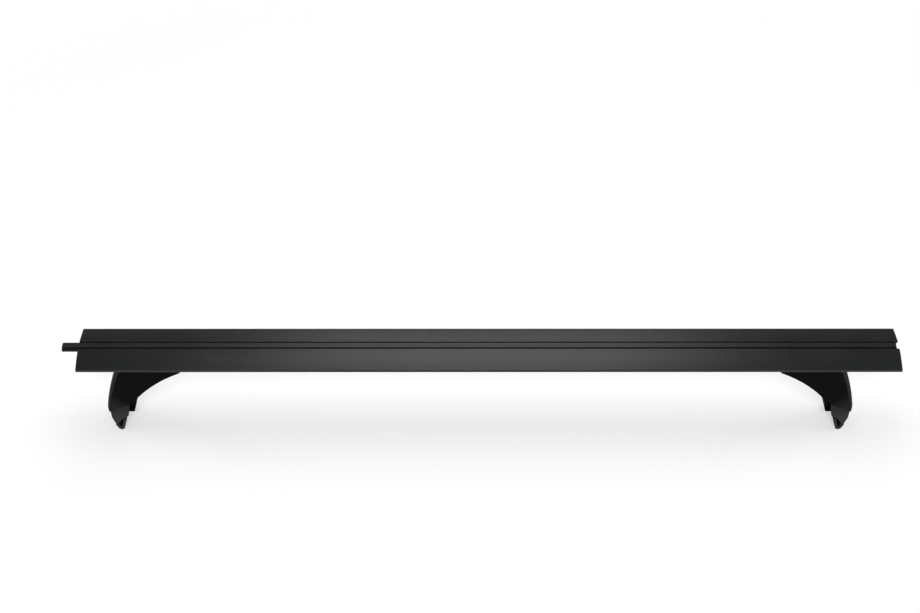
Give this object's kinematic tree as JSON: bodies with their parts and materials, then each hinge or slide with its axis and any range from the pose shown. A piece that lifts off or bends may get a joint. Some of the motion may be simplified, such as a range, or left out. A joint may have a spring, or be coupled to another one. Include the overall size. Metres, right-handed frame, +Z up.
{
  "type": "roof rack crossbar",
  "caption": "Aerofoil roof rack crossbar with a rubber-filled top slot, on arched clamp legs with hooks that a bolt behind a cover pulls in.",
  "frame": {"origin": "middle of the bounding box at floor level, under the hook tips", "axes": "+X along the bar, +Y across it towards the blunt edge, +Z up"},
  "size_m": [1.224, 0.082, 0.1535],
  "materials": {
    "bar": "satin black anodised extrusion",
    "strip": "matt black rubber",
    "leg_plastic": "fine textured black moulding",
    "cover_plastic": "smooth satin black moulding",
    "pad_rubber": "matt black rubber",
    "bracket_steel": "satin black powder coat on steel",
    "fastener_steel": "zinc plated steel"
  },
  "bodies": {
    "bar": {"crossbar_extrusion": "bar"},
    "strip": {"infill_strip": "strip"},
    "left_leg": {"left_leg_body": "leg_plastic", "left_saddle_pad": "pad_rubber", "left_channel_plate": "fastener_steel", "left_bar_bolts": "fastener_steel", "left_spreader_plate": "fastener_steel", "left_foot_pad": "pad_rubber", "left_pivot_pin": "fastener_steel", "left_clamp_nut": "fastener_steel"},
    "left_cover": {"left_leg_cover": "cover_plastic"},
    "left_clamp": {"left_clamp_bracket": "bracket_steel", "left_hook_liner": "pad_rubber"},
    "left_washer": {"left_clamp_washer": "fastener_steel"},
    "left_bolt": {"left_clamp_bolt": "fastener_steel"},
    "right_leg": {"right_leg_body": "leg_plastic", "right_saddle_pad": "pad_rubber", "right_channel_plate": "fastener_steel", "right_bar_bolts": "fastener_steel", "right_spreader_plate": "fastener_steel", "right_foot_pad": "pad_rubber", "right_pivot_pin": "fastener_steel", "right_clamp_nut": "fastener_steel"},
    "right_cover": {"right_leg_cover": "cover_plastic"},
    "right_clamp": {"right_clamp_bracket": "bracket_steel", "right_hook_liner": "pad_rubber"},
    "right_washer": {"right_clamp_washer": "fastener_steel"},
    "right_bolt": {"right_clamp_bolt": "fastener_steel"}
  },
  "joints": [
    {"name": "strip_slide", "type": "slide", "parent": "bar", "child": "strip", "axis": [1, 0, 0], "range_m": [-0.05, 0.024]},
    {"name": "left_leg_slide", "type": "slide", "parent": "bar", "child": "left_leg", "axis": [1, 0, 0], "range_m": [-0.03, 0.15]},
    {"name": "left_cover_pull", "type": "slide", "parent": "left_leg", "child": "left_cover", "axis": [-1, 0, 0], "range_m": [0, 0.06]},
    {"name": "left_clamp_swing", "type": "hinge", "parent": "left_leg", "child": "left_clamp", "pos_m": [-0.527, 0, 0.107], "axis": [0, -1, 0], "range_deg": [0, 6]},
    {"name": "left_washer_slide", "type": "slide", "parent": "left_leg", "child": "left_washer", "axis": [1, 0, 0], "range_m": [0, 0.00346]},
    {"name": "left_bolt_turn", "type": "hinge", "parent": "left_washer", "child": "left_bolt", "pos_m": [-0.545, 0, 0.074], "axis": [1, 0, 0], "range_deg": [0, 1244.07]},
    {"name": "right_leg_slide", "type": "slide", "parent": "bar", "child": "right_leg", "axis": [1, 0, 0], "range_m": [-0.15, 0.05]},
    {"name": "right_cover_pull", "type": "slide", "parent": "right_leg", "child": "right_cover", "axis": [1, 0, 0], "range_m": [0, 0.06]},
    {"name": "right_clamp_swing", "type": "hinge", "parent": "right_leg", "child": "right_clamp", "pos_m": [0.527, 0, 0.107], "axis": [0, 1, 0], "range_deg": [0, 6]},
    {"name": "right_washer_slide", "type": "slide", "parent": "right_leg", "child": "right_washer", "axis": [-1, 0, 0], "range_m": [0, 0.00346]},
    {"name": "right_bolt_turn", "type": "hinge", "parent": "right_washer", "child": "right_bolt", "pos_m": [0.545, 0, 0.074], "axis": [-1, 0, 0], "range_deg": [0, 1244.07]}
  ],
  "couplings": [
    {"joint": "left_washer_slide", "follows": "left_clamp_swing", "m_per_rad": 0.033},
    {"joint": "left_bolt_turn", "follows": "left_clamp_swing", "ratio": 207.34},
    {"joint": "right_washer_slide", "follows": "right_clamp_swing", "m_per_rad": 0.033},
    {"joint": "right_bolt_turn", "follows": "right_clamp_swing", "ratio": 207.34}
  ]
}
